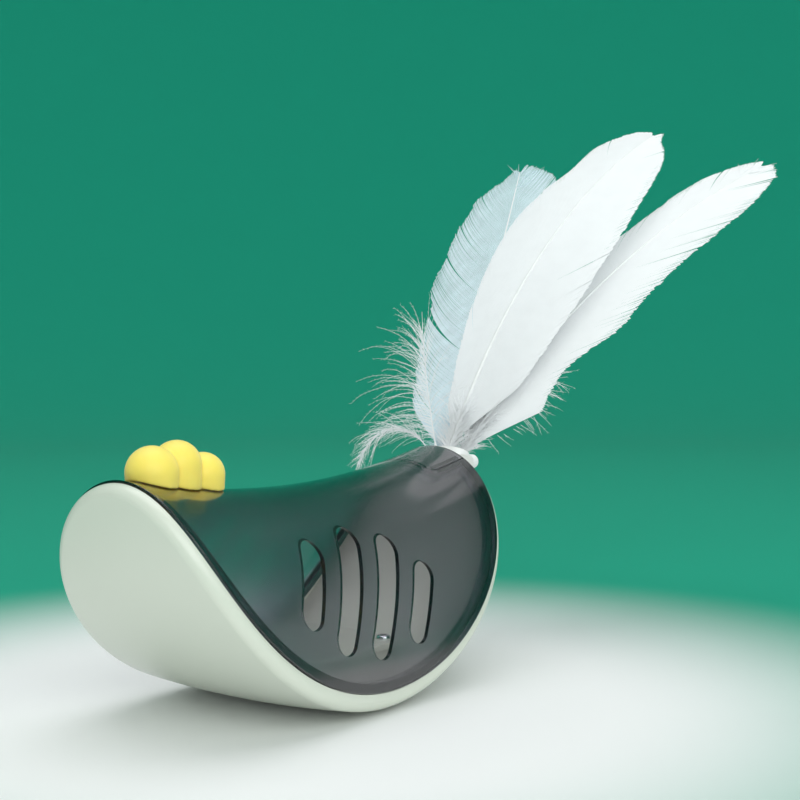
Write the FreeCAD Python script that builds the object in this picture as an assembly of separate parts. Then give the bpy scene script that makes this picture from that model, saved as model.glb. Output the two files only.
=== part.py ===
"""Rocking treat toy for a cat: a weighted white rocker strip under a smoky saddle cover,
with a yellow silicone comb, a refill panel and a plug-in holder with goose feathers.

Millimetres. X runs from the head to the tail, Y across and Z up. The origin is the point
where the rocker touches the floor.
"""
import FreeCAD, Part
import math
import os

vec = FreeCAD.Vector
along_y = vec(0, 1, 0)
along_z = vec(0, 0, 1)

# Rocker strip and saddle, the two surfaces that give the body its shape
rocker_radius = 75.0
strip_crown_radius = 370.0
body_half_width = 36.8
arch_height = 55.0
ridge_height = 63.5
ridge_radius = 355.0
saddle_turn = 16.0
outer_edge_round = 3.0

# Seam between the white strip and the smoky cover: a drum lying across the body. It leaves the
# strip a wall at each end and a rim over the floor.
end_wall = 2.8
seam_low = 6.8
seam_radius = rocker_radius - end_wall
seam_axis_height = seam_low + seam_radius

# Walls and fits
shell_wall = 2.4
rim_wall = 2.0
cover_wall = 1.2
cover_proud = 0.75
cover_inside = cover_wall - cover_proud
cover_edge_round = 0.35
seam_gap = 0.3
fit_gap = 0.3
lip_wall = 1.0
lip_depth = 3.0
lip_half_length = 32.0
band_width = 2.8

# Treat slots, given in the side view
slot_width = 8.5
slot_lengths = (25.0, 37.0, 37.0, 25.0)
slot_lean = 29.0
first_slot = (-29.0, 40.6)
slot_step = (15.1, -3.7)

# Refill panel at the tail end of the cover
panel_front = 51.6
panel_half_width = 12.8
panel_corner = 4.0
panel_gap = 0.4
panel_shelf = 1.6
panel_skirt_wall = 1.2
panel_skirt_depth = 4.0
panel_skirt_tail_gap = 1.0

# Comb: three domed lobes along the ridge, and two pegs, all placed from the seam's head end
lobe_setbacks = (12.9, 22.2, 32.3)
lobe_radii = (7.3, 6.9, 6.2)
lobe_lifts = (4.0, 6.8, 4.8)
lobe_foot_share = 0.93
lobe_root = 0.6
comb_seat_gap = 0.25
peg_setbacks = (17.2, 28.2)
peg_radius = 3.0
peg_reach = 3.0
peg_root = 2.0
peg_gap = 0.08

# Weight pocket in the bottom of the strip
weight_middle = -7.8
pocket_half_length = 24.0
pocket_half_width = 21.0
pocket_wall = 1.6
pocket_corner = 3.0
weight_gap = 0.5
weight_top = 10.0
lid_bottom = 14.6
lid_thickness = 1.8
lid_half_length = 33.0
lid_half_width = 23.5
lid_corner = 5.0

# Screws that hold the lid
screw_places = ((-27.5, -17.5), (-27.5, 17.5), (27.5, -17.5), (27.5, 17.5))
boss_radius = 3.0
screw_radius = 1.1
screw_length = 4.5
screw_thread_gap = 0.02
screw_clearance = 0.1
screw_tip_gap = 0.5
screw_head_radius = 2.2
screw_head_height = 1.6
head_recess = 0.7
head_gap = 0.3
cross_length = 2.6
cross_width = 0.5
cross_depth = 0.8

# Feather holder, pushed into the tail wall from outside. It hangs from the ridge's tail end.
tail_top = ridge_height + ridge_radius - math.sqrt(ridge_radius ** 2 - seam_radius ** 2)
flange_half_width = 14.6
flange_height = 4.8
flange_middle = tail_top - 4.8
flange_reach = rocker_radius + 3.2
flange_round = 1.2
tongue_half_width = 6.0
tongue_half_height = 1.5
tongue_middle = tail_top - 7.3
tongue_end = rocker_radius - 3.0
tongue_round = 0.9
tongue_gap = 0.15
boss_lean = 62.0
boss_half_width = 8.2
boss_half_height = 4.2
boss_length = 8.4
boss_foot = vec(rocker_radius + 1.6, 0, tail_top - 9.4)
quill_depth = 3.4
quill_gap = 0.1

# Feathers. The foot is where the quill leaves its hole, from the tail wall's outside and the
# ridge's tail end. The lean is the rise of the fan's plane, the fan is the angle to the left
# in it, and the turn is about the shaft itself.
# Outline rows: share of the length, half width to the left, half width to the right.
vane_thickness = 0.8
shaft_share = 0.9
shaft_to_quill = 0.73
feathers = {
    "centre_feather": {
        "foot": (5.6, 0.0, -2.5), "lean": 74.3, "fan": -11.1, "turn": 0.0,
        "length": 165.0, "bend": 189.0, "camber": 70.0, "quill": 1.1,
        "outline": ((0.04, 2.0, 2.5), (0.09, 7.0, 9.5), (0.15, 9.5, 15.0), (0.21, 12.0, 18.2),
                    (0.315, 16.5, 21.0), (0.413, 20.5, 22.6), (0.51, 23.0, 22.9), (0.605, 24.4, 22.5),
                    (0.69, 22.6, 21.0), (0.785, 18.2, 18.4), (0.856, 19.0, 15.6), (0.912, 20.0, 11.0),
                    (0.95, 16.5, 6.5), (1.0, 7.0, 2.5)),
    },
    "right_feather": {
        "foot": (7.2, -4.5, -3.0), "lean": 63.7, "fan": -22.4, "turn": -10.0,
        "length": 165.0, "bend": 271.0, "camber": 70.0, "quill": 1.1,
        "outline": ((0.03, 1.0, 3.5), (0.09, 5.0, 13.0), (0.15, 7.5, 18.0), (0.20, 9.5, 16.5),
                    (0.26, 11.5, 15.2), (0.33, 13.0, 18.0), (0.40, 14.5, 20.8), (0.50, 15.5, 19.6),
                    (0.62, 16.0, 18.8), (0.74, 16.2, 18.6), (0.82, 16.2, 17.4), (0.89, 15.0, 14.4),
                    (0.95, 10.0, 10.5), (1.0, 3.0, 2.5)),
    },
    "left_feather": {
        "foot": (7.2, 3.9, -4.3), "lean": 41.9, "fan": 13.2, "turn": 0.0,
        "length": 165.0, "bend": -1667.0, "camber": 70.0, "quill": 1.1,
        "outline": ((0.03, 2.5, 2.0), (0.07, 9.5, 5.5), (0.14, 17.0, 9.5), (0.23, 23.4, 13.5),
                    (0.31, 26.6, 16.5), (0.40, 29.6, 18.7), (0.48, 30.6, 20.0), (0.57, 31.2, 20.8),
                    (0.65, 33.4, 21.0), (0.74, 31.0, 20.6), (0.82, 28.2, 19.4), (0.88, 24.0, 18.0),
                    (0.93, 17.0, 16.4), (0.965, 8.0, 12.5), (1.0, 2.5, 5.0)),
    },
    "curled_down_feather": {
        "foot": (4.4, 7.0, -2.8), "lean": 84.0, "fan": 32.0, "turn": 90.0,
        "length": 41.0, "bend": 17.0, "camber": 25.0, "quill": 0.7,
        "outline": ((0.05, 0.8, 0.8), (0.20, 2.6, 3.2), (0.35, 3.6, 4.4), (0.50, 4.4, 5.2),
                    (0.65, 4.6, 5.4), (0.80, 4.2, 5.0), (0.90, 3.2, 4.0), (1.0, 1.4, 1.8)),
    },
    "upright_down_feather": {
        "foot": (3.2, 3.4, -1.3), "lean": 90.0, "fan": 12.0, "turn": 0.0,
        "length": 50.0, "bend": 200.0, "camber": 40.0, "quill": 0.7,
        "outline": ((0.08, 0.8, 0.8), (0.20, 9.0, 2.5), (0.35, 18.0, 3.5), (0.50, 19.0, 4.5),
                    (0.65, 14.0, 4.5), (0.80, 8.0, 4.0), (0.92, 5.0, 3.0), (1.0, 1.5, 1.2)),
    },
}

# Sizes of cutting shapes that only have to reach past the body, and the overlap that joins parts
beyond = 60.0
joining = 0.4


def face_of(edges):
    return Part.Face(Part.Wire(Part.__sortEdges__(edges)))


def one_solid(shape):
    solids = shape.removeSplitter().Solids
    if len(solids) == 1:
        return solids[0]
    return shape


def barrel(inset):
    """Everything inside the rocker strip's outside, drawn inwards by the inset."""
    sag = strip_crown_radius - math.sqrt(strip_crown_radius ** 2 - beyond ** 2)
    top = 2 * rocker_radius - inset
    left, middle, right = vec(0, -beyond, top - sag), vec(0, 0, top), vec(0, beyond, top - sag)
    axis_left, axis_right = vec(0, -beyond, rocker_radius), vec(0, beyond, rocker_radius)
    face = face_of([
        Part.Arc(left, middle, right).toShape(),
        Part.makeLine(right, axis_right),
        Part.makeLine(axis_right, axis_left),
        Part.makeLine(axis_left, left),
    ])
    return face.revolve(vec(0, 0, rocker_radius), along_y, 360)


def saddle(inset):
    """Everything under the saddle-shaped arch, drawn inwards by the inset."""
    middle_height = ridge_height - arch_height
    half_width = body_half_width - inset
    top = vec(0, 0, ridge_height - inset)
    left, right = vec(0, -half_width, middle_height), vec(0, half_width, middle_height)
    low_left, low_right = vec(0, -half_width, -beyond), vec(0, half_width, -beyond)
    arch = Part.Ellipse(top, right, vec(0, 0, middle_height))
    face = face_of([
        Part.Arc(arch, -math.pi / 2, math.pi / 2).toShape(),
        Part.makeLine(right, low_right),
        Part.makeLine(low_right, low_left),
        Part.makeLine(low_left, left),
    ])
    axis = vec(0, 0, ridge_height + ridge_radius)
    face.rotate(axis, along_y, -saddle_turn)
    return face.revolve(axis, along_y, 2 * saddle_turn)


def saddle_layer(outer_inset, inner_inset):
    return saddle(outer_inset).cut(saddle(inner_inset))


def drum(inset):
    """The seam's drum, drawn inwards by the inset."""
    return Part.makeCylinder(seam_radius - inset, 2 * beyond, vec(0, -beyond, seam_axis_height), along_y)


def strip_radius_at(y):
    """Radius of the rocker strip's outside at a distance from the middle plane."""
    return rocker_radius - strip_crown_radius + math.sqrt(strip_crown_radius ** 2 - y ** 2)


def ridge_height_at(x):
    return ridge_height + ridge_radius - math.sqrt(ridge_radius ** 2 - x ** 2)


def outer_body():
    """The whole body's outside, with the edge round the strip rounded."""
    body = barrel(0).common(saddle(0))
    tiny = 0.01
    edges = []
    for edge in body.Edges:
        middle = edge.valueAt((edge.FirstParameter + edge.LastParameter) / 2)
        radius = math.hypot(middle.x, middle.z - rocker_radius)
        on_strip = abs(radius - strip_radius_at(middle.y)) < tiny
        if on_strip and (abs(middle.y) > 1.0 or middle.z > ridge_height):
            edges.append(edge)
    return body.makeFillet(outer_edge_round, edges)


def upright_block(x_low, x_high, half_width, corner, z_low, z_high):
    """A block with rounded upright edges."""
    block = Part.makeBox(x_high - x_low, 2 * half_width, z_high - z_low, vec(x_low, -half_width, z_low))
    upright = [edge for edge in block.Edges if len(edge.Vertexes) == 2
               and abs(edge.Vertexes[0].Z - edge.Vertexes[1].Z) > 0.5 * (z_high - z_low)]
    return block.makeFillet(corner, upright)


def block_over_weight(half_length, half_width, corner, z_low, z_high):
    return upright_block(weight_middle - half_length, weight_middle + half_length,
                         half_width, corner, z_low, z_high)


def screw_centres():
    return [(weight_middle + x, y) for x, y in screw_places]


def make_shell(body):
    """White strip: bottom and both end walls, with the weight pocket and its screw bosses."""
    shell = body.cut(drum(0)).cut(barrel(shell_wall).common(saddle(rim_wall)))
    pocket_outer = block_over_weight(pocket_half_length + pocket_wall, pocket_half_width + pocket_wall,
                                     pocket_corner + pocket_wall, 0, lid_bottom)
    pocket_inner = block_over_weight(pocket_half_length, pocket_half_width, pocket_corner, 0, lid_bottom)
    inside = barrel(shell_wall - joining)
    parts = [pocket_outer.cut(pocket_inner).common(inside)]
    for x, y in screw_centres():
        parts.append(Part.makeCylinder(boss_radius, lid_bottom, vec(x, y, 0)).common(inside))
    shell = shell.multiFuse(parts)
    pilot_bottom = lid_bottom + lid_thickness - head_recess - screw_length - screw_tip_gap
    for x, y in screw_centres():
        pilot = Part.makeCylinder(screw_radius + screw_thread_gap, beyond, vec(x, y, pilot_bottom))
        shell = shell.cut(pilot)
    return one_solid(shell.cut(tongue_block(tongue_gap, rocker_radius + beyond)))


def tongue_block(grow, x_high):
    """The feather holder's flat tongue, or its slot in the tail wall when grown."""
    half_width, half_height = tongue_half_width + grow, tongue_half_height + grow
    box = Part.makeBox(x_high - tongue_end, 2 * half_width, 2 * half_height,
                       vec(tongue_end, -half_width, tongue_middle - half_height))
    long_edges = [edge for edge in box.Edges if edge.Length > x_high - tongue_end - 0.5 * half_height
                  and abs(edge.Vertexes[0].X - edge.Vertexes[1].X) > half_height]
    return box.makeFillet(tongue_round + grow, long_edges)


def slot_cutter(index):
    """A rounded bar that cuts one treat slot through both sides of the cover."""
    radius = slot_width / 2
    half = slot_lengths[index] / 2 - radius
    bar = Part.makeBox(2 * half, 2 * beyond, slot_width, vec(-half, -beyond, -radius))
    for end in (-half, half):
        bar = bar.fuse(Part.makeCylinder(radius, 2 * beyond, vec(end, -beyond, 0), along_y))
    bar = bar.removeSplitter()
    bar.rotate(vec(0, 0, 0), along_y, slot_lean - 90.0)
    bar.translate(vec(first_slot[0] + index * slot_step[0], 0, first_slot[1] + index * slot_step[1]))
    return bar


def panel_prism(grow):
    """The refill panel's outline, grown all round and open towards the tail."""
    return upright_block(panel_front - grow, panel_front + beyond, panel_half_width + grow,
                         panel_corner + grow, 0, 2 * rocker_radius)


def cover_outside():
    """The cover's outside: a saddle a little higher than the strip's, with its edge rounded."""
    outside = saddle(-cover_proud).common(drum(seam_gap))
    tiny = 0.01
    edges = [edge for edge in outside.Edges
             if all(abs(math.hypot(point.x, point.z - seam_axis_height) - seam_radius + seam_gap) < tiny
                    for point in edge.discretize(5))]
    return outside.makeFillet(cover_edge_round, edges)


def cover_lip():
    """Two straight lips that reach down inside the strip's sides and keep the cover in place."""
    lip = saddle_layer(rim_wall + fit_gap, rim_wall + fit_gap + lip_wall)
    lip = lip.common(drum(-lip_depth)).common(barrel(shell_wall + fit_gap)).cut(drum(seam_gap + joining))
    return lip.common(upright_block(-lip_half_length, lip_half_length, beyond, 1.0, 0, beyond))


def panel_shelf_ring():
    """A thin ledge under the refill panel's edge, joined to the cover round its notch."""
    depth = cover_inside + fit_gap
    edge = panel_prism(panel_gap + panel_shelf / 2)
    ledge = saddle_layer(depth, depth + lip_wall).common(edge).cut(panel_prism(panel_gap - panel_shelf))
    rim = saddle_layer(cover_inside - joining, depth + joining).common(edge).cut(panel_prism(panel_gap))
    tail_limit = drum(seam_gap + band_width / 2)
    return ledge.common(tail_limit).fuse(rim.common(tail_limit))


def make_cover(outside):
    """Smoky cover: the saddle's wall, its edge band and lips, the slots, peg holes and panel notch."""
    cover = outside.cut(saddle(cover_inside))
    band = saddle_layer(cover_inside - joining, rim_wall + fit_gap + lip_wall)
    cover = cover.fuse(band.common(drum(seam_gap)).cut(drum(seam_gap + band_width))).fuse(cover_lip())
    for index in range(len(slot_lengths)):
        cover = cover.cut(slot_cutter(index))
    cover = cover.cut(panel_prism(panel_gap)).fuse(panel_shelf_ring())
    for setback in peg_setbacks:
        x = setback - seam_radius
        hole = Part.makeCylinder(peg_radius + peg_gap, beyond, vec(x, 0, ridge_height - 2 * peg_reach))
        cover = cover.cut(hole)
    return one_solid(cover)


def make_refill_panel(outside):
    """Smoky panel that closes the refill opening, with a short skirt that centres it."""
    plate = outside.cut(saddle(cover_inside)).common(panel_prism(0))
    skirt_grow = panel_gap - panel_shelf - fit_gap
    skirt = saddle_layer(cover_inside - joining, cover_inside + panel_skirt_depth)
    skirt = skirt.common(panel_prism(skirt_grow)).cut(panel_prism(skirt_grow - panel_skirt_wall))
    return one_solid(plate.fuse(skirt.common(drum(seam_gap + panel_skirt_tail_gap))))


def make_lobe(x, radius, lift):
    """One domed lobe of the comb, on a foot that narrows a little towards the cover."""
    centre = ridge_height_at(x) + lift
    depth = lift + radius * lobe_root
    foot = Part.makeCone(radius * lobe_foot_share, radius, depth, vec(x, 0, centre - depth))
    upper = Part.makeCylinder(2 * radius, 2 * radius, vec(x, 0, centre))
    return Part.makeSphere(radius, vec(x, 0, centre)).common(upper).fuse(foot)


def make_comb():
    """Yellow comb: three domed lobes on the ridge and two pegs that go through the cover."""
    lobes = [make_lobe(setback - seam_radius, radius, lift)
             for setback, radius, lift in zip(lobe_setbacks, lobe_radii, lobe_lifts)]
    comb = lobes[0].multiFuse(lobes[1:]).cut(saddle(-cover_proud - comb_seat_gap))
    bottom = ridge_height - cover_inside - peg_reach
    for setback in peg_setbacks:
        x = setback - seam_radius
        top = ridge_height_at(x) + peg_root
        comb = comb.fuse(Part.makeCylinder(peg_radius, top - bottom, vec(x, 0, bottom)))
    return one_solid(comb)


def make_counterweight():
    """Steel block with a bottom that follows the strip."""
    block = block_over_weight(pocket_half_length - weight_gap, pocket_half_width - weight_gap,
                              pocket_corner, 0, weight_top)
    return one_solid(block.common(barrel(shell_wall)))


def make_weight_pad():
    """Foam pad between the counterweight and the lid."""
    return block_over_weight(pocket_half_length - weight_gap, pocket_half_width - weight_gap,
                             pocket_corner, weight_top, lid_bottom)


def make_weight_lid():
    """White lid over the weight pocket, the floor on which the treats lie."""
    top = lid_bottom + lid_thickness
    lid = block_over_weight(lid_half_length, lid_half_width, lid_corner, lid_bottom, top)
    lid = lid.common(barrel(shell_wall + fit_gap))
    for x, y in screw_centres():
        lid = lid.cut(Part.makeCylinder(screw_radius + screw_clearance, beyond, vec(x, y, 0)))
        lid = lid.cut(Part.makeCylinder(screw_head_radius + head_gap, beyond, vec(x, y, top - head_recess)))
    return one_solid(lid)


def make_screw(x, y):
    """A self-tapping screw with a rounded head and a cross recess."""
    seat = lid_bottom + lid_thickness - head_recess
    top = seat + screw_head_height
    head = Part.makeCylinder(screw_head_radius, screw_head_height, vec(x, y, seat))
    rim = [edge for edge in head.Edges if abs(edge.CenterOfMass.z - top) < joining * screw_head_height]
    screw = head.makeFillet(screw_head_height / 2, rim)
    screw = screw.fuse(Part.makeCylinder(screw_radius, screw_length, vec(x, y, seat - screw_length)))
    for turn in (0, 90):
        arm = Part.makeBox(cross_length, cross_width, cross_depth + 1.0,
                           vec(x - cross_length / 2, y - cross_width / 2, top - cross_depth))
        arm.rotate(vec(x, y, 0), along_z, turn)
        screw = screw.cut(arm)
    return one_solid(screw)


def feather_axes(feather):
    """Directions along the shaft at its foot, across it to the left, and out of the vane's face."""
    lean, fan, turn = [math.radians(feather[name]) for name in ("lean", "fan", "turn")]
    rise = vec(math.cos(lean), 0, math.sin(lean))
    along = rise * math.cos(fan) + along_y * math.sin(fan)
    flat_left = along_y * math.cos(fan) - rise * math.sin(fan)
    left = flat_left * math.cos(turn) + along.cross(flat_left) * math.sin(turn)
    return along, left, along.cross(left)


def feather_foot(feather):
    return vec(rocker_radius, 0, tail_top) + vec(*feather["foot"])


def placed_feather(shape, feather):
    """Moves a feather from the drawing frame, where its shaft leaves along X, to its foot."""
    along, left, out = feather_axes(feather)
    foot = feather_foot(feather)
    shape.Placement = FreeCAD.Placement(FreeCAD.Matrix(
        along.x, left.x, out.x, foot.x,
        along.y, left.y, out.y, foot.y,
        along.z, left.z, out.z, foot.z,
        0, 0, 0, 1))
    return shape


def vane_section(feather, share, left, right):
    """Closed outline across the vane: a slice of a roof tile, carried along the bent shaft."""
    camber, bend = feather["camber"], feather["bend"]
    middle = (left - right) / 2
    top = [vec(0, y, math.sqrt(camber ** 2 - y ** 2) - camber) for y in (-right, middle, left)]
    low = [point - along_z * vane_thickness for point in top]
    wire = Part.Wire([
        Part.Arc(*top).toShape(),
        Part.makeLine(top[2], low[2]),
        Part.Arc(*reversed(low)).toShape(),
        Part.makeLine(low[0], top[0]),
    ])
    wire.rotate(vec(0, 0, -bend), along_y, math.degrees(share * feather["length"] / bend))
    return wire


def make_feather(feather):
    """One feather: the quill in its hole, the bent shaft and the vane on both sides of it."""
    vane = Part.makeLoft([vane_section(feather, *row) for row in feather["outline"]], True, False)
    quill_radius, bend = feather["quill"], feather["bend"]
    quill_length = quill_depth + 1.0
    quill = Part.makeCylinder(quill_radius, quill_length, vec(-quill_depth, 0, 0), vec(1, 0, 0))
    ring = Part.Face(Part.Wire(Part.makeCircle(quill_radius * shaft_to_quill, vec(0, 0, 0), vec(1, 0, 0))))
    shaft = ring.revolve(vec(0, 0, -bend), along_y, math.degrees(feather["length"] * shaft_share / bend))
    return placed_feather(one_solid(vane.fuse(shaft).fuse(quill)), feather)


def holder_flange():
    """Flat bar with round ends that lies against the tail wall."""
    start = rocker_radius - 2 * flange_height
    half = flange_half_width - flange_height / 2
    flange = Part.makeBox(flange_reach - start, 2 * half, flange_height,
                          vec(start, -half, flange_middle - flange_height / 2))
    for side in (-half, half):
        flange = flange.fuse(Part.makeCylinder(flange_height / 2, flange_reach - start,
                                               vec(start, side, flange_middle), vec(1, 0, 0)))
    flange = flange.removeSplitter()
    return flange.makeFillet(flange_round, [edge for edge in flange.Edges
                                            if edge.CenterOfMass.x > flange_reach - joining])


def holder_boss():
    """Leaning boss with round ends that takes the quills."""
    lean = math.radians(boss_lean)
    axis = vec(math.cos(lean), 0, math.sin(lean))
    normal = axis.cross(along_y) * boss_half_height
    side = along_y * (boss_half_width - boss_half_height)
    corners = [boss_foot - side - normal, boss_foot + side - normal,
               boss_foot + side + normal, boss_foot - side + normal]
    boss = Part.Face(Part.makePolygon(corners + corners[:1])).extrude(axis * boss_length)
    for end in (boss_foot - side, boss_foot + side):
        boss = boss.fuse(Part.makeCylinder(boss_half_height, boss_length, end, axis))
    return boss.removeSplitter()


def make_feather_holder():
    """White holder: a flange on the tail wall, a tongue through it and a boss for the quills."""
    holder = holder_flange().fuse(holder_boss()).cut(barrel(-fit_gap))
    holder = holder.fuse(tongue_block(0, rocker_radius + 2 * tongue_half_height))
    for feather in feathers.values():
        along = feather_axes(feather)[0]
        bottom = feather_foot(feather) - along * (quill_depth + quill_gap)
        holder = holder.cut(Part.makeCylinder(feather["quill"] + quill_gap, 5 * quill_depth, bottom, along))
    return one_solid(holder)


def save(shape, name):
    shape.exportStep("parts/" + name + ".step")
    print(name, len(shape.Solids), "solids", round(shape.Volume / 1000, 2), "cm3", shape.isValid())


os.makedirs("parts", exist_ok=True)
whole_body = outer_body()
save(make_shell(whole_body), "rocker_shell")
cover_body = cover_outside()
save(make_cover(cover_body), "smoky_cover")
save(make_refill_panel(cover_body), "refill_panel")
save(make_comb(), "comb")
save(make_counterweight(), "counterweight")
save(make_weight_pad(), "weight_pad")
save(make_weight_lid(), "weight_lid")
save(Part.makeCompound([make_screw(*centre) for centre in screw_centres()]), "weight_lid_screws")
save(make_feather_holder(), "feather_holder")
for feather_name, feather_sizes in feathers.items():
    save(make_feather(feather_sizes), feather_name)
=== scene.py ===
import math
import random

import bmesh
import bpy
from mathutils import Matrix, Vector


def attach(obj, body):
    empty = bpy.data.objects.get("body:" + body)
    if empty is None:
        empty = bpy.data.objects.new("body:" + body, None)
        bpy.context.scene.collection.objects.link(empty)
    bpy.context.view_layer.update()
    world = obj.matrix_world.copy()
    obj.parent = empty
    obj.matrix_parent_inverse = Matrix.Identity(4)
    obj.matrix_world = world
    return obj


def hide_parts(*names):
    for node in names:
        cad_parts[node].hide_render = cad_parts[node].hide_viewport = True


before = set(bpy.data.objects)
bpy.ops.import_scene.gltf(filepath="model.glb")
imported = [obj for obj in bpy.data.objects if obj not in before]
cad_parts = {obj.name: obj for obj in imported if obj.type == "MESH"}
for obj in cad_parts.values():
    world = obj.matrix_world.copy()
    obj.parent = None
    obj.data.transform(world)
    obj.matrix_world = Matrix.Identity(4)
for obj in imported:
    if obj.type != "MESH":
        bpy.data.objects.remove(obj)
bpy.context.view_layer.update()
MM = 0.001
scene = bpy.context.scene
scene.view_settings.view_transform = "Standard"

# Camera. It stands a little above the table, in front of the head end and on the near side,
# where the photograph was taken from. Its lens and place were worked out from the round seam.
picture_width = 800.0
focal_pixels = 1451.87
camera_place = Vector((-331.76, -284.51, 107.49)) * MM
heading, descent, roll = math.radians(53.5078), math.radians(2.3757), math.radians(-0.4944)
ahead = Matrix.Rotation(-heading, 3, "Z") @ Vector((0.0, math.cos(descent), -math.sin(descent)))
level_right = Vector((math.cos(heading), -math.sin(heading), 0.0))
level_up = level_right.cross(ahead)
right = level_right * math.cos(roll) + level_up * math.sin(roll)
up = level_up * math.cos(roll) - level_right * math.sin(roll)
camera_data = bpy.data.cameras.new("camera")
camera_data.sensor_width = 36.0
camera_data.lens = focal_pixels / picture_width * camera_data.sensor_width
camera_data.clip_start = 0.01
camera_data.clip_end = 20.0
camera = bpy.data.objects.new("camera", camera_data)
scene.collection.objects.link(camera)
camera.matrix_world = Matrix.Translation(camera_place) @ Matrix((right, up, -ahead)).transposed().to_4x4()
scene.camera = camera


# Studio. A paper sweep all round the toy: pale where it stands, plain green farther off and up
# the wall, so that every side is seen against the same plain ground, under large soft lamps.
# The light it throws back on the toy stays almost neutral, as if the green were far off.
table_radius = 1.1
corner_radius = 0.7
wall_height = 3.2
sweep_sides = 96
corner_steps = 12
table_colour = (0.88, 0.90, 0.89, 1.0)
wall_colour = (0.008, 0.345, 0.22, 1.0)
fade_begins, fade_ends = 0.09, 0.24
neutral_share = 0.9
sky_colour = (0.94, 0.97, 1.0, 1.0)
sky_strength = 0.6


def set_sockets(node, values):
    """Gives the sockets of a node, by name or by number, their values."""
    for socket, value in values.items():
        node.inputs[socket].default_value = value


def add_node(tree, kind, sockets=None, **settings):
    """A new shader node with its settings and the values of its sockets."""
    made = tree.nodes.new(kind)
    for name, value in settings.items():
        setattr(made, name, value)
    set_sockets(made, sockets or {})
    return made


def new_material(name):
    """A new material, its node tree and its Principled shader."""
    material = bpy.data.materials.new(name)
    material.use_nodes = True
    return material, material.node_tree, material.node_tree.nodes["Principled BSDF"]


def sweep_profile():
    """Radius and height of points along the table, up the round corner and up the wall."""
    points = [(0.0, 0.0), (table_radius / 2, 0.0)]
    for step in range(corner_steps + 1):
        turn = math.pi / 2 * step / corner_steps
        points.append((table_radius + corner_radius * math.sin(turn), corner_radius * (1 - math.cos(turn))))
    points.append((table_radius + corner_radius, wall_height))
    return points


def sweep_mesh():
    """The profile turned round the toy, with one point in the middle of the table."""
    mesh = bmesh.new()
    middle, *rings = sweep_profile()
    centre = mesh.verts.new((0.0, 0.0, middle[1]))
    circles = []
    for radius, height in rings:
        turns = [math.tau * side / sweep_sides for side in range(sweep_sides)]
        circles.append([mesh.verts.new((radius * math.cos(turn), radius * math.sin(turn), height))
                        for turn in turns])
    for side in range(sweep_sides):
        after = (side + 1) % sweep_sides
        mesh.faces.new((centre, circles[0][side], circles[0][after]))
        for inner, outer in zip(circles, circles[1:]):
            mesh.faces.new((inner[side], outer[side], outer[after], inner[after]))
    for face in mesh.faces:
        face.smooth = True
    data = bpy.data.meshes.new("paper_sweep")
    mesh.to_mesh(data)
    mesh.free()
    return data


def sweep_paper():
    """Pale near the toy and green farther off. Light that has bounced sees hardly any green."""
    material, tree, shader = new_material("sweep_paper")
    place = add_node(tree, "ShaderNodeTexCoord")
    distance = add_node(tree, "ShaderNodeVectorMath", operation="LENGTH")
    fade = add_node(tree, "ShaderNodeMapRange", {"From Min": fade_begins, "From Max": fade_ends},
                    interpolation_type="SMOOTHSTEP")
    rays = add_node(tree, "ShaderNodeLightPath")
    direct = add_node(tree, "ShaderNodeMath", {1: -neutral_share, 2: 1.0},
                      operation="MULTIPLY_ADD", use_clamp=True)
    greenness = add_node(tree, "ShaderNodeMath", operation="MULTIPLY")
    paper = add_node(tree, "ShaderNodeMix", data_type="RGBA")
    set_sockets(paper, {"A": table_colour, "B": wall_colour})
    tree.links.new(place.outputs["Object"], distance.inputs[0])
    tree.links.new(distance.outputs["Value"], fade.inputs["Value"])
    tree.links.new(rays.outputs["Diffuse Depth"], direct.inputs[0])
    tree.links.new(direct.outputs["Value"], greenness.inputs[0])
    tree.links.new(fade.outputs["Result"], greenness.inputs[1])
    tree.links.new(greenness.outputs["Value"], paper.inputs["Factor"])
    tree.links.new(paper.outputs["Result"], shader.inputs["Base Color"])
    set_sockets(shader, {"Roughness": 0.85, "Specular IOR Level": 0.2})
    return material


def add_softbox(name, place, target, width, height, power):
    """A large rectangular lamp that faces the target."""
    lamp = bpy.data.lights.new(name, "AREA")
    lamp.shape = "RECTANGLE"
    lamp.size, lamp.size_y = width, height
    lamp.energy = power
    holder = bpy.data.objects.new(name, lamp)
    scene.collection.objects.link(holder)
    holder.location = Vector(place)
    holder.rotation_mode = "QUATERNION"
    holder.rotation_quaternion = (Vector(target) - Vector(place)).to_track_quat("-Z", "Y")


sweep = bpy.data.objects.new("paper_sweep", sweep_mesh())
scene.collection.objects.link(sweep)
sweep.data.materials.append(sweep_paper())
world = bpy.data.worlds.new("studio")
world.use_nodes = True
set_sockets(world.node_tree.nodes["Background"], {"Color": sky_colour, "Strength": sky_strength})
scene.world = world
add_softbox("front_softbox", place=(-0.58, -0.79, 0.50), target=(0.0, 0.0, 0.05),
            width=1.0, height=0.8, power=6.0)
add_softbox("top_softbox", place=(0.1, 0.1, 1.25), target=(0.05, 0.0, 0.05),
            width=1.2, height=1.2, power=7.0)


# Rocker strip. One white satin ABS moulding: the round bottom and both end walls, with the
# weight pocket inside. The lid over that pocket is of the same plastic. Its skin, like that of
# every piece but the feathers, has a slow unevenness of shade and gloss over a fine orange peel.
def new_group(name, inputs, outputs):
    """A new group of shader nodes, with its input and output nodes."""
    group = bpy.data.node_groups.new(name, "ShaderNodeTree")
    for label, kind, value in inputs:
        socket = group.interface.new_socket(name=label, in_out="INPUT", socket_type=kind)
        socket.default_value = value
    for label, kind in outputs:
        group.interface.new_socket(name=label, in_out="OUTPUT", socket_type=kind)
    return group, group.nodes.new("NodeGroupInput"), group.nodes.new("NodeGroupOutput")


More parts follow.
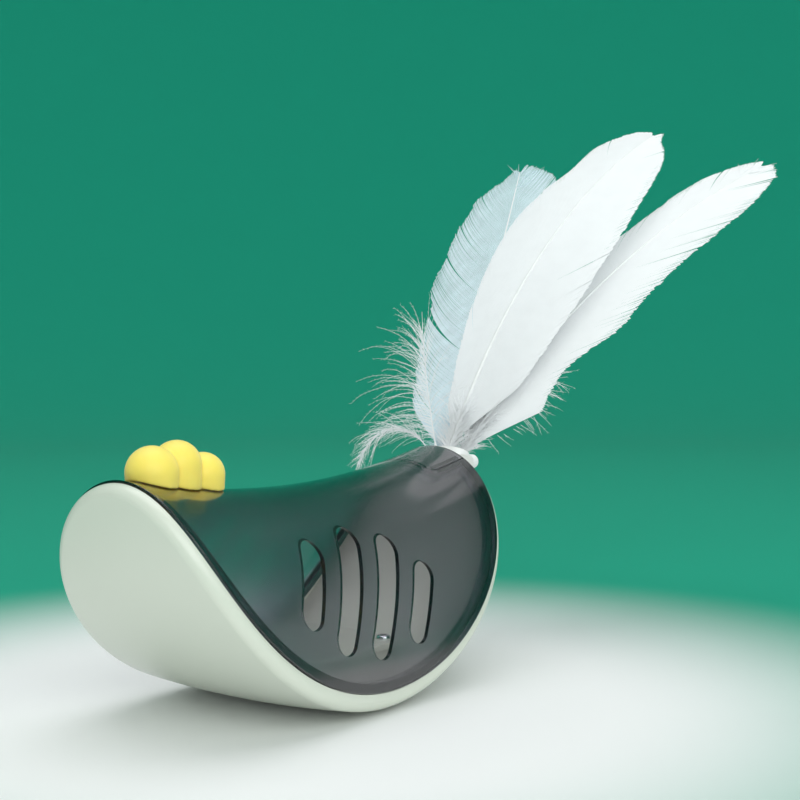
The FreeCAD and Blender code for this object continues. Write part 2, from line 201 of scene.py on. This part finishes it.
def moulded_skin_group():
    """Colour, roughness and height of a moulded skin."""
    group, given, result = new_group(
        "moulded_skin",
        [("Colour", "NodeSocketColor", (0.8, 0.8, 0.8, 1.0)), ("Shade", "NodeSocketFloat", 0.03),
         ("Gloss", "NodeSocketFloat", 0.3), ("Gloss Change", "NodeSocketFloat", 0.06),
         ("Peel Scale", "NodeSocketFloat", 900.0)],
        [("Colour", "NodeSocketColor"), ("Roughness", "NodeSocketFloat"), ("Height", "NodeSocketFloat")])
    link = group.links.new
    place = add_node(group, "ShaderNodeTexCoord")
    slow = add_node(group, "ShaderNodeTexNoise", {"Scale": 22.0, "Detail": 3.0})
    fine = add_node(group, "ShaderNodeTexNoise", {"Detail": 4.0})
    centred = add_node(group, "ShaderNodeMath", {1: 0.5}, operation="SUBTRACT")
    shade = add_node(group, "ShaderNodeMath", {2: 1.0}, operation="MULTIPLY_ADD")
    gloss = add_node(group, "ShaderNodeMath", operation="MULTIPLY_ADD")
    tinted = add_node(group, "ShaderNodeVectorMath", operation="SCALE")
    link(place.outputs["Object"], slow.inputs["Vector"])
    link(place.outputs["Object"], fine.inputs["Vector"])
    link(given.outputs["Peel Scale"], fine.inputs["Scale"])
    link(slow.outputs["Fac"], centred.inputs[0])
    link(centred.outputs["Value"], shade.inputs[0])
    link(given.outputs["Shade"], shade.inputs[1])
    link(centred.outputs["Value"], gloss.inputs[0])
    link(given.outputs["Gloss Change"], gloss.inputs[1])
    link(given.outputs["Gloss"], gloss.inputs[2])
    link(given.outputs["Colour"], tinted.inputs[0])
    link(shade.outputs["Value"], tinted.inputs["Scale"])
    link(tinted.outputs["Vector"], result.inputs["Colour"])
    link(gloss.outputs["Value"], result.inputs["Roughness"])
    link(fine.outputs["Fac"], result.inputs["Height"])
    return group


peel_depth = 0.1 * MM
moulded_skin = moulded_skin_group()


def moulded_material(name, colour, gloss, shade=0.03, gloss_change=0.06, peel_scale=900.0, peel=0.02,
                     sockets=None):
    """A principled material whose colour, gloss and bumps come from the moulded skin group."""
    material, tree, shader = new_material(name)
    skin = add_node(tree, "ShaderNodeGroup", node_tree=moulded_skin)
    set_sockets(skin, {"Colour": (*colour, 1.0), "Shade": shade, "Gloss": gloss,
                       "Gloss Change": gloss_change, "Peel Scale": peel_scale})
    bump = add_node(tree, "ShaderNodeBump", {"Strength": peel, "Distance": peel_depth})
    tree.links.new(skin.outputs["Colour"], shader.inputs["Base Color"])
    tree.links.new(skin.outputs["Roughness"], shader.inputs["Roughness"])
    tree.links.new(skin.outputs["Height"], bump.inputs["Height"])
    tree.links.new(bump.outputs["Normal"], shader.inputs["Normal"])
    set_sockets(shader, sockets or {})
    return material


def finish_nodes(material, *names):
    """Gives carried-over nodes their material."""
    for name in names:
        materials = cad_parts[name].data.materials
        materials.clear()
        materials.append(material)


# Its off-white colour has a green cast that is partly the plastic's own tone and partly painted green
# bounce light from the backdrop.
white_plastic = moulded_material(
    "white_plastic", (0.66, 0.715, 0.615), gloss=0.30,
    sockets={"IOR": 1.5, "Coat Weight": 0.25, "Coat Roughness": 0.12})
finish_nodes(white_plastic, "rocker_shell", "weight_lid")


# Feather holder. A separate small moulding of a whiter, slightly softer plastic, pushed into the
# tail wall from outside, with the quills glued into its boss.
holder_plastic = moulded_material("holder_plastic", (0.86, 0.88, 0.87), gloss=0.36, sockets={"IOR": 1.5})
finish_nodes(holder_plastic, "feather_holder")


# Smoky cover and refill panel. Smoke-grey clear plastic, 1.2 mm thick, glossy outside and faintly
# frosted inside. A wall takes nearly half of the light that goes through, so cut edges look dark.
smoke_colour = (0.09, 0.07, 0.13, 1.0)
smoke_density = 415.0
edge_rounding = 0.3 * MM
smoky_plastic = moulded_material(
    "smoky_plastic", (0.95, 0.88, 0.97), gloss=0.20, peel=0.01,
    sockets={"IOR": 1.45, "Transmission Weight": 1.0, "Coat Weight": 0.6, "Coat Roughness": 0.04})
tree = smoky_plastic.node_tree
soft_edges = add_node(tree, "ShaderNodeBevel", {"Radius": edge_rounding}, samples=4)
tree.links.new(soft_edges.outputs["Normal"], tree.nodes["Principled BSDF"].inputs["Coat Normal"])
smoke = add_node(tree, "ShaderNodeVolumeAbsorption", {"Color": smoke_colour, "Density": smoke_density})
tree.links.new(smoke.outputs["Volume"], tree.nodes["Material Output"].inputs["Volume"])
finish_nodes(smoky_plastic, "smoky_cover", "refill_panel")


# Comb. Three soft lobes of matt yellow silicone, moulded in one piece with two pegs. The creases
# between the lobes and the edge at the foot are rounded, as in a part from a rubber mould.
comb_voxel = 0.35 * MM
comb_softening_rounds = 5
yellow_silicone = moulded_material(
    "yellow_silicone", (0.98, 0.79, 0.14), gloss=0.5, peel_scale=2500.0, peel=0.05,
    sockets={"Subsurface Weight": 0.25, "Subsurface Radius": (0.006, 0.004, 0.001),
             "Subsurface Scale": 1.0, "Sheen Weight": 0.15})


def softened_copy(source, name, voxel, rounds):
    """A piece with a node's shape, its corners and creases rounded off like soft moulded rubber."""
    piece = bpy.data.objects.new(name, source.data.copy())
    scene.collection.objects.link(piece)
    remesh = piece.modifiers.new("even_mesh", "REMESH")
    remesh.mode = "VOXEL"
    remesh.voxel_size = voxel
    smooth = piece.modifiers.new("soft_edges", "SMOOTH")
    smooth.factor = 0.5
    smooth.iterations = rounds
    shown = piece.evaluated_get(bpy.context.evaluated_depsgraph_get())
    data = bpy.data.meshes.new_from_object(shown)
    piece.modifiers.clear()
    piece.data = data
    for face in data.polygons:
        face.use_smooth = True
    return piece


comb = softened_copy(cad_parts["comb"], "silicone_comb", comb_voxel, comb_softening_rounds)
comb.data.materials.clear()
comb.data.materials.append(yellow_silicone)
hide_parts("comb")
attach(comb, "comb_body")


# Weight, pad and screws, hidden in the bottom: a sawn steel block, a slice of grey foam that
# keeps it from rattling, and the four zinc-plated screws of the lid.
weight_steel = moulded_material("weight_steel", (0.42, 0.42, 0.43), gloss=0.42, shade=0.2,
                                gloss_change=0.2, sockets={"Metallic": 1.0})
screw_zinc = moulded_material("screw_zinc", (0.72, 0.73, 0.76), gloss=0.25, shade=0.08,
                              gloss_change=0.15, sockets={"Metallic": 1.0})
grey_foam = moulded_material("grey_foam", (0.16, 0.16, 0.17), gloss=0.9, shade=0.5,
                             peel_scale=1500.0, peel=0.8)
finish_nodes(weight_steel, "counterweight")
finish_nodes(screw_zinc, "weight_lid_screws")
finish_nodes(grey_foam, "weight_pad")


# Goose feathers. Three white wing feathers, each a bent shaft with rows of barbs that hook into
# one smooth vane on both sides. Their quills are glued into the holder's boss. Their sizes are
# in millimetres and degrees.
feather_length = 165.0
vane_camber = 70.0
quill_radius = 1.1
wing_feathers = {
    # Bend and camber are radii: of the bent shaft, and of the vane across it.
    # Outline rows: share of the length, width of the left vane, width of the right vane.
    # Splits: side of the shaft (1 left, -1 right), distance along it, how far the vane opens.
    "centre_feather": {
        "foot": (80.6, 0.0, 68.42), "lean": 74.3, "fan": -11.1, "turn": 0.0,
        "length": feather_length, "bend": 189.0, "camber": vane_camber, "quill": quill_radius, "seed": 3,
        "outline": ((0.04, 2.0, 2.5), (0.09, 7.0, 9.5), (0.15, 9.5, 15.0), (0.21, 12.0, 18.2),
                    (0.315, 16.5, 21.0), (0.413, 20.5, 22.6), (0.51, 23.0, 22.9), (0.605, 24.4, 22.5),
                    (0.69, 22.6, 21.0), (0.785, 18.2, 18.4), (0.856, 19.0, 15.6), (0.912, 20.0, 11.0),
                    (0.95, 16.5, 6.5), (1.0, 7.0, 2.5)),
        "splits": ((-1, 60.0, 0.3), (1, 130.0, 0.4)),
        "clump_lift": 0.25, "clump_shift": 0.2, "overlap": 1.16, "thinning": 0.0,
        "ragged": 0.02, "ragged_tip": 0.03, "wisps": 0, "fringe": 0, "mottled": False,
    },
    "right_feather": {
        "foot": (82.2, -4.5, 67.92), "lean": 63.7, "fan": -22.4, "turn": -10.0,
        "length": feather_length, "bend": 271.0, "camber": vane_camber, "quill": quill_radius, "seed": 5,
        "outline": ((0.03, 4.5, 3.5), (0.09, 8.0, 13.0), (0.15, 8.5, 18.0), (0.20, 9.5, 16.5),
                    (0.26, 11.5, 15.2), (0.33, 13.0, 18.0), (0.40, 14.5, 20.8), (0.50, 15.5, 19.6),
                    (0.62, 16.0, 18.8), (0.74, 16.2, 18.6), (0.82, 16.2, 17.4), (0.89, 15.0, 14.4),
                    (0.95, 10.0, 10.5), (1.0, 3.0, 2.5)),
        "splits": ((-1, 84.0, 0.6), (-1, 100.0, 0.5), (1, 134.0, 0.8), (-1, 138.0, 0.9)),
        "clump_lift": 0.3, "clump_shift": 0.4, "overlap": 1.14, "thinning": 0.1,
        "ragged": 0.04, "ragged_tip": 0.14, "wisps": 7, "fringe": 34, "mottled": False,
    },
    "left_feather": {
        "foot": (82.2, 3.9, 66.62), "lean": 41.9, "fan": 13.2, "turn": 0.0,
        "length": feather_length, "bend": -1667.0, "camber": vane_camber, "quill": quill_radius, "seed": 8,
        "outline": ((0.03, 2.5, 2.0), (0.07, 9.5, 5.5), (0.14, 17.0, 9.5), (0.23, 23.4, 13.5),
                    (0.31, 26.6, 16.5), (0.40, 29.6, 18.7), (0.48, 30.6, 20.0), (0.57, 31.2, 20.8),
                    (0.65, 33.4, 21.0), (0.74, 31.0, 20.6), (0.82, 28.2, 19.4), (0.88, 24.0, 18.0),
                    (0.93, 17.0, 16.4), (0.965, 8.0, 12.5), (1.0, 2.5, 5.0)),
        "splits": ((1, 52.0, 2.4), (1, 84.0, 1.0), (-1, 120.0, 1.0)),
        "clump_lift": 0.5, "clump_shift": 0.6, "overlap": 1.06, "thinning": 0.3,
        "ragged": 0.06, "ragged_tip": 0.30, "wisps": 9, "fringe": 0, "mottled": True,
    },
}
vane_begins, vane_ends = 0.015, 0.985
vane_sink = 0.35


def feather_axes(feather):
    """Directions along the shaft at its foot, across it to the left, and out of the vane's face.

    The shaft leans up from the way the tail points, fans out to a side and turns about itself.
    """
    lean, fan, turn = [math.radians(feather[name]) for name in ("lean", "fan", "turn")]
    rise = Vector((math.cos(lean), 0.0, math.sin(lean)))
    level = Vector((0.0, 1.0, 0.0))
    along = rise * math.cos(fan) + level * math.sin(fan)
    flat_left = level * math.cos(fan) - rise * math.sin(fan)
    left = flat_left * math.cos(turn) + along.cross(flat_left) * math.sin(turn)
    return along, left, along.cross(left)


def bent_axes(feather, station):
    """The same three directions at a distance along the bent shaft."""
    along, left, out = feather["axes"]
    turn = station / feather["bend"]
    return (along * math.cos(turn) - out * math.sin(turn), left,
            along * math.sin(turn) + out * math.cos(turn))


def on_feather(feather, station, across, rise=0.0):
    """Place in metres of a point at a distance along the shaft, to its left and over its middle."""
    along, left, out = feather["axes"]
    camber, bend = feather["camber"], feather["bend"]
    height = math.sqrt(camber ** 2 - across ** 2) - camber + rise + bend
    turn = station / bend
    place = Vector(feather["foot"]) + along * (height * math.sin(turn))
    return (place + left * across + out * (height * math.cos(turn) - bend)) * MM


def outline_width(rows, share, column):
    """Width of the vane at a share of its length, on a smooth curve through the outline's rows."""
    if share <= rows[0][0]:
        return rows[0][column]
    if share >= rows[-1][0]:
        return rows[-1][column]
    low = max(index for index, row in enumerate(rows[:-1]) if row[0] <= share)

    def slope(index):
        before, after = rows[max(index - 1, 0)], rows[min(index + 1, len(rows) - 1)]
        return (after[column] - before[column]) / (after[0] - before[0])

    span = rows[low + 1][0] - rows[low][0]
    t = (share - rows[low][0]) / span
    blend = 3 * t ** 2 - 2 * t ** 3
    return ((1 - blend) * rows[low][column] + blend * rows[low + 1][column]
            + (t ** 3 - 2 * t ** 2 + t) * span * slope(low) + (t ** 3 - t ** 2) * span * slope(low + 1))


barb_spacing = 0.75
barb_step = 0.7
barb_root_offset = 0.05
most_barb_points = 120
root_slope_at_foot, root_slope_at_tip = 60.0, 32.0
edge_slope_at_foot, edge_slope_at_tip = 31.0, 19.0


def barb_path(feather, widths, start, reach):
    """Points of a flat barb, from the shaft to the vane's edge: distances along the shaft and across."""
    length = feather["length"]
    share = start / length
    root_slope = math.radians(root_slope_at_foot + (root_slope_at_tip - root_slope_at_foot) * share)
    edge_slope = math.radians(edge_slope_at_foot + (edge_slope_at_tip - edge_slope_at_foot) * share)
    station, across = start, barb_root_offset
    points = [(station, across)]
    while station < length and len(points) < most_barb_points:
        limit = widths[min(int(station), len(widths) - 1)] * reach
        if across >= limit:
            break
        slope = root_slope + (edge_slope - root_slope) * min(across / max(limit, 1.0), 1.0)
        station += barb_step * math.cos(slope)
        across += barb_step * math.sin(slope)
        points.append((station, across))
    return points


def resampled(points, count):
    """The same path with evenly spaced points."""
    picked = []
    for index in range(count):
        place = index * (len(points) - 1) / (count - 1)
        low = min(int(place), len(points) - 2)
        part = place - low
        picked.append(tuple(a + (b - a) * part for a, b in zip(points[low], points[low + 1])))
    return picked


def add_tube(corners, faces, rings):
    """A closed tube from rings of corners, with both ends capped."""
    first, sides = len(corners), len(rings[0])
    for ring in rings:
        corners.extend(ring)
    last = len(corners) - sides
    for base in range(first, last, sides):
        for side in range(sides):
            after = (side + 1) % sides
            faces.append((base + side, base + after, base + sides + after, base + sides + side))
    faces.append(tuple(first + side for side in reversed(range(sides))))
    faces.append(tuple(last + side for side in range(sides)))


def make_piece(name, corners, faces, material, smooth):
    """A piece from corners and faces, with its faces turned outwards."""
    data = bpy.data.meshes.new(name)
    data.from_pydata(corners, [], faces)
    mesh = bmesh.new()
    mesh.from_mesh(data)
    bmesh.ops.recalc_face_normals(mesh, faces=mesh.faces)
    for face in mesh.faces:
        face.smooth = smooth
    mesh.to_mesh(data)
    mesh.free()
    data.materials.append(material)
    piece = bpy.data.objects.new(name, data)
    scene.collection.objects.link(piece)
    return piece


clump_sizes = (7, 24)
clump_reach = (-0.6, 0.24)
lone_reach = (-0.6, 0.2)


def clump_values(draw, count, feather):
    """A shift, a lift and a reach for each barb: barbs that hook together move as one clump."""
    values = []
    while len(values) < count:
        shift = draw.uniform(-1.0, 1.0) * feather["clump_shift"]
        lift = draw.uniform(-1.0, 1.0) * feather["clump_lift"]
        reach = draw.uniform(*clump_reach)
        values.extend([(shift, lift, reach)] * draw.randint(*clump_sizes))
    return values


split_reach = 4.0


def split_shift(feather, side, start):
    """How far a barb's end moves along the shaft, because the vane is split near it."""
    shift = 0.0
    for split_side, station, opening in feather["splits"]:
        if split_side == side:
            away = start - station
            shift += math.copysign(opening * math.exp(-abs(away) / split_reach), away)
    return shift


narrowest_barb, widest_barb = 0.3, 0.9
barb_half_thickness = 0.07
barb_end_begins = 0.9
barb_end_width, barb_end_thickness = 0.8, 0.6


def barb_rings(feather, side, path, beside, shift, lift, cover):
    """Rings of one barb, as wide as its distance from the next barb and narrower at its end."""
    last = len(path) - 1
    rings = []
    for index, (station, across) in enumerate(path):
        share = index / last
        after, before = path[min(index + 1, last)], path[max(index - 1, 0)]
        run, rise = after[0] - before[0], after[1] - before[1]
        distance = math.hypot(run, rise)
        run, rise = run / distance, rise / distance
        if index < last:
            gap = abs((beside[index][0] - station) * rise - (beside[index][1] - across) * run)
        half = 0.5 * min(max(gap, narrowest_barb), widest_barb) * cover
        thick = barb_half_thickness
        if share >= barb_end_begins:
            half *= barb_end_width
            thick *= barb_end_thickness
        station += shift * share ** 2
        height = lift * share ** 2 - vane_sink
        rings.append([
            on_feather(feather, station + rise * half, side * (across - run * half), height),
            on_feather(feather, station, side * across, height + thick),
            on_feather(feather, station - rise * half, side * (across + run * half), height),
            on_feather(feather, station, side * across, height - thick),
        ])
    return rings


ragged_zone = 0.2
points_per_ring, fewest_rings = 4, 4


def vane_barbs(feather, side, corners, faces):
    """All hooked barbs on one side of the shaft."""
    draw = random.Random(feather["seed"] * 10 + side)
    length = feather["length"]
    column = 1 if side > 0 else 2
    widths = [outline_width(feather["outline"], station / length, column)
              for station in range(int(length) + 1)]
    first, last = vane_begins * length, vane_ends * length
    count = int((last - first) / barb_spacing)
    clumps = clump_values(draw, count + 1, feather)
    for index in range(count):
        start = first + index * barb_spacing
        shift, lift, reach_change = clumps[index]
        share = start / length
        tip_share = max(0.0, (share - (1.0 - ragged_zone)) / ragged_zone)
        raggedness = feather["ragged"] + (feather["ragged_tip"] - feather["ragged"]) * tip_share
        reach = 1.0 + raggedness * (reach_change + draw.uniform(*lone_reach))
        path = barb_path(feather, widths, start, reach)
        if len(path) < 3:
            continue
        beside = barb_path(feather, widths, start + barb_spacing, reach) + [path[-1]]
        rings = max(fewest_rings, len(path) // points_per_ring)
        path, beside = resampled(path, rings), resampled(beside, rings)
        shift += split_shift(feather, side, start)
        cover = feather["overlap"] - feather["thinning"] * share
        add_tube(corners, faces, barb_rings(feather, side, path, beside, shift, lift, cover))


quill_depth = 3.4
bare_quill = 3.0
quill_share, shaft_taper = 0.95, 0.75
shaft_flatness = 0.9
shaft_sink_length = 12.0
shaft_sides, shaft_steps = 8, 38


def shaft_tube(feather, corners, faces, shaft_share=0.74):
    """The quill in its hole and the tapering shaft, thinner by a share and flatter than round."""
    length = feather["length"]
    above = vane_ends * length - bare_quill
    stations = [-quill_depth, 0.0]
    stations += [bare_quill + above * step / shaft_steps for step in range(shaft_steps + 1)]
    rings = []
    for station in stations:
        share = max(station, 0.0) / length
        radius = feather["quill"] * (quill_share - shaft_taper * share)
        radius *= 1.0 if station < bare_quill else shaft_share
        sink = vane_sink * min(max(station, 0.0) / shaft_sink_length, 1.0)
        turns = [math.tau * side / shaft_sides for side in range(shaft_sides)]
        rings.append([on_feather(feather, station, radius * math.cos(turn),
                                 radius * math.sin(turn) * shaft_flatness - sink) for turn in turns])
    add_tube(corners, faces, rings)


hair_step = 1.6
fewest_hair_steps = 5
hair_taper = 0.75
hair_waver = 0.07
# Any direction that isn't along a hair will do to work out the hair's own sides from.
side_guide = Vector((0.31, 0.22, 0.92))
barbule_lengths = (0.8, 1.9)
barbule_width = 0.045


def add_barbule(corners, faces, place, heading, reach):
    """One barbule: a thin closed spike."""
    side = heading.cross(reach).normalized() * barbule_width
    lift = heading * barbule_width
    first = len(corners)
    corners.extend(point * MM for point in (place + side, place - side * 0.5 + lift,
                                            place - side * 0.5 - lift, place + reach))
    faces.extend(((first, first + 1, first + 2), (first, first + 3, first + 1),
                  (first + 1, first + 3, first + 2), (first + 2, first + 3, first)))


def add_hair(draw, corners, faces, start, direction, length, droop, radius=0.09, barbules=1.0):
    """One soft hair: a wavy thread with fine barbules. Its droop is how much it bends down per mm."""
    steps = max(fewest_hair_steps, int(length / hair_step))
    place, heading = Vector(start), Vector(direction).normalized()
    step = length / steps
    rings = []
    for index in range(steps + 1):
        share = index / steps
        side = heading.cross(side_guide).normalized()
        other = heading.cross(side)
        thick = radius * (1.0 - hair_taper * share)
        rings.append([(place + (side * math.cos(turn) + other * math.sin(turn)) * thick) * MM
                      for turn in (0.0, math.tau / 3, math.tau * 2 / 3)])
        if draw.random() < barbules and index > 0:
            for _ in range(2):
                turn = draw.uniform(0.0, math.tau)
                away = (side * math.cos(turn) + other * math.sin(turn)) * draw.uniform(0.5, 0.9)
                away = (away + heading * 0.8).normalized()
                reach = draw.uniform(*barbule_lengths) * (1.1 - 0.5 * share)
                add_barbule(corners, faces, place, heading, away * reach)
        heading += Vector([draw.uniform(-1.0, 1.0) for _ in range(3)]) * hair_waver
        heading.z -= droop * step
        heading.normalize()
        place = place + heading * step
    add_tube(corners, faces, rings)


loose_down_count = 210
loose_down_zone = 16.0
loose_down_slopes = (12.0, 66.0)
loose_down_lengths = (5.0, 11.0)
loose_down_droops = (0.0, 0.03)
loose_hair_radius = 0.15


def loose_down(feather, corners, faces):
    """Loose downy barbs at the foot of the vane, which don't hook together and hide the shaft."""
    draw = random.Random(feather["seed"] * 100)
    along, left, out = feather["axes"]
    for index in range(loose_down_count):
        side = 1 if index % 2 else -1
        station = loose_down_zone * draw.random() ** 1.4
        slope = math.radians(draw.uniform(*loose_down_slopes))
        direction = along * math.cos(slope) + left * side * math.sin(slope) + out * draw.uniform(-0.1, 0.25)
        start = on_feather(feather, station, 0.3 * side, draw.uniform(0.0, 0.9)) / MM
        add_hair(draw, corners, faces, start, direction, length=draw.uniform(*loose_down_lengths),
                 droop=draw.uniform(*loose_down_droops), radius=loose_hair_radius)


fringe_begins, fringe_stretch = 8.0, 34.0
fringe_waver = (-1.5, 1.5)
fringe_hang = Vector((0.1, -0.35, -1.0))
fringe_lengths = (3.0, 9.0)
fringe_droops = (0.0, 0.05)
fringe_hair_radius = 0.08


def edge_fringe(feather, corners, faces):
    """Stray downy barbs that hang from the lower edge of the vane near its foot."""
    draw = random.Random(feather["seed"] * 200)
    along, left, _ = feather["axes"]
    for index in range(feather["fringe"]):
        share = index / feather["fringe"]
        station = fringe_begins + fringe_stretch * share ** 0.6 + draw.uniform(*fringe_waver)
        width = outline_width(feather["outline"], station / feather["length"], 2)
        start = on_feather(feather, station, -width * draw.uniform(0.85, 0.97), -vane_sink) / MM
        hanging = fringe_hang * (1.0 - 0.9 * share)
        direction = hanging - left * draw.uniform(0.4, 0.9) + along * draw.uniform(0.0, 0.8)
        add_hair(draw, corners, faces, start, direction, length=draw.uniform(*fringe_lengths),
                 droop=draw.uniform(*fringe_droops), radius=fringe_hair_radius, barbules=0.5)


wisps_begin = 0.92
wisp_slopes = (8.0, 60.0)
wisp_lengths = (6.0, 12.0)
wisp_droop = 0.01


def tip_wisps(feather, corners, faces):
    """Single barbs that have come loose near the tip and stick out past the vane's end."""
    draw = random.Random(feather["seed"] * 300)
    for index in range(feather["wisps"]):
        side = 1 if index % 2 else -1
        station = feather["length"] * draw.uniform(wisps_begin, vane_ends)
        tangent, left, _ = bent_axes(feather, station)
        slope = math.radians(draw.uniform(*wisp_slopes))
        start = on_feather(feather, station, side * draw.uniform(0.0, 3.0)) / MM
        direction = tangent * math.cos(slope) + left * side * math.sin(slope)
        add_hair(draw, corners, faces, start, direction, length=draw.uniform(*wisp_lengths),
                 droop=wisp_droop, radius=loose_hair_radius, barbules=0.0)


def barb_mottle_group():
    """Colour of barbs, darker in soft patches that fall at random."""
    group, given, result = new_group(
        "barb_mottle",
        [("Colour", "NodeSocketColor", (0.9, 0.9, 0.9, 1.0)), ("Darkest", "NodeSocketFloat", 0.95)],
        [("Colour", "NodeSocketColor")])
    link = group.links.new
    place = add_node(group, "ShaderNodeTexCoord")
    patches = add_node(group, "ShaderNodeTexNoise", {"Scale": 160.0, "Detail": 5.0})
    tone = add_node(group, "ShaderNodeMapRange", {"From Min": 0.3, "From Max": 0.7, "To Max": 1.0})
    tinted = add_node(group, "ShaderNodeVectorMath", operation="SCALE")
    link(place.outputs["Object"], patches.inputs["Vector"])
    link(patches.outputs["Fac"], tone.inputs["Value"])
    link(given.outputs["Darkest"], tone.inputs["To Min"])
    link(given.outputs["Colour"], tinted.inputs[0])
    link(tone.outputs["Result"], tinted.inputs["Scale"])
    link(tinted.outputs["Vector"], result.inputs["Colour"])
    return group


barb_mottle = barb_mottle_group()


def feather_material(name, colour, shade):
    """Keratin: white, a little bluish, matt, with a soft sheen and some light from behind."""
    material, tree, shader = new_material(name)
    mottle = add_node(tree, "ShaderNodeGroup", node_tree=barb_mottle)
    set_sockets(mottle, {"Colour": (*colour, 1.0), "Darkest": 1.0 - shade})
    tree.links.new(mottle.outputs["Colour"], shader.inputs["Base Color"])
    set_sockets(shader, {"Roughness": 0.6, "Sheen Weight": 0.2, "Subsurface Weight": 0.25,
                         "Subsurface Radius": (0.002, 0.002, 0.002), "Subsurface Scale": 1.0})
    return material


white_barbs = feather_material("white_barbs", (0.94, 0.97, 0.98), 0.03)
mottled_barbs = feather_material("mottled_barbs", (0.72, 0.90, 0.98), 0.14)
shaft_horn = feather_material("shaft_horn", (0.90, 0.93, 0.92), 0.06)
for name, feather in wing_feathers.items():
    feather["axes"] = feather_axes(feather)
    corners, faces = [], []
    for side in (1, -1):
        vane_barbs(feather, side, corners, faces)
    loose_down(feather, corners, faces)
    tip_wisps(feather, corners, faces)
    edge_fringe(feather, corners, faces)
    barbs = mottled_barbs if feather["mottled"] else white_barbs
    vane = make_piece(name + "_vane", corners, faces, barbs, smooth=False)
    corners, faces = [], []
    shaft_tube(feather, corners, faces)
    shaft = make_piece(name + "_shaft", corners, faces, shaft_horn, smooth=True)
    for piece in (vane, shaft):
        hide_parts(name)
        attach(piece, "tail")


# Down. Two small downy feathers at the foot of the big ones, on the left: one stands up against
# the left feather's edge, the other curls over and down. Their barbs are loose and fluffy.
down_camber = 60.0
down_quill_radius = 0.7
down_feathers = {
    "upright_down_feather": {
        "foot": (78.2, 3.4, 69.62), "lean": 90.0, "fan": 12.0, "turn": 0.0,
        "length": 50.0, "bend": 200.0, "camber": down_camber, "quill": down_quill_radius, "seed": 21,
        "hairs": 150, "slope_low": 24.0, "slope_high": 82.0, "reach": (4.34, 22.32), "droop": 0.045,
        "until": 0.84, "all_round": False,
    },
    "curled_down_feather": {
        "foot": (79.4, 7.0, 68.12), "lean": 84.0, "fan": 32.0, "turn": 90.0,
        "length": 41.0, "bend": 17.0, "camber": down_camber, "quill": down_quill_radius, "seed": 34,
        "hairs": 130, "slope_low": 80.0, "slope_high": 50.0, "reach": (4.96, 14.88), "droop": 0.05,
        "until": 0.98, "all_round": True,
    },
}
down_begins = 0.08
down_longest_at = 0.35
down_least_reach, down_more_reach = 0.55, 0.9
down_shaft_share = 0.35
down_slope_waver = (-16.0, 16.0)
down_left_share = 0.8
down_fluff = feather_material("down_fluff", (0.94, 0.97, 0.98), 0.03)


def down_hairs(feather, corners, faces):
    """Loose barbs along the little shaft, on its face or all round it, shortest at the tip."""
    draw = random.Random(feather["seed"])
    shortest, longest = feather["reach"]
    for index in range(feather["hairs"]):
        share = down_begins + (feather["until"] - down_begins) * index / feather["hairs"]
        station = share * feather["length"]
        start = on_feather(feather, station, 0.0) / MM
        tangent, left, normal = bent_axes(feather, station)
        slope = math.radians(feather["slope_low"] + (feather["slope_high"] - feather["slope_low"]) * share
                             + draw.uniform(*down_slope_waver))
        if feather["all_round"]:
            spin = draw.uniform(0.0, math.tau)
            side = left * math.cos(spin) + normal * math.sin(spin)
        else:
            side = left if draw.random() < down_left_share else -left
            side = side + normal * draw.uniform(-0.1, 0.7)
        direction = tangent * math.sin(slope) + side.normalized() * math.cos(slope)
        reach = shortest + (longest - shortest) * draw.random() ** 1.6
        swell = math.sin(math.pi * min(share + 0.5 - down_longest_at, 1.0))
        reach *= down_least_reach + down_more_reach * swell
        add_hair(draw, corners, faces, start, direction, reach, feather["droop"])


for name, feather in down_feathers.items():
    feather["axes"] = feather_axes(feather)
    corners, faces = [], []
    shaft_tube(feather, corners, faces, down_shaft_share)
    down_hairs(feather, corners, faces)
    tuft = make_piece(name + "_fluff", corners, faces, down_fluff, smooth=False)
    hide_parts(name)
    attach(tuft, "tail")
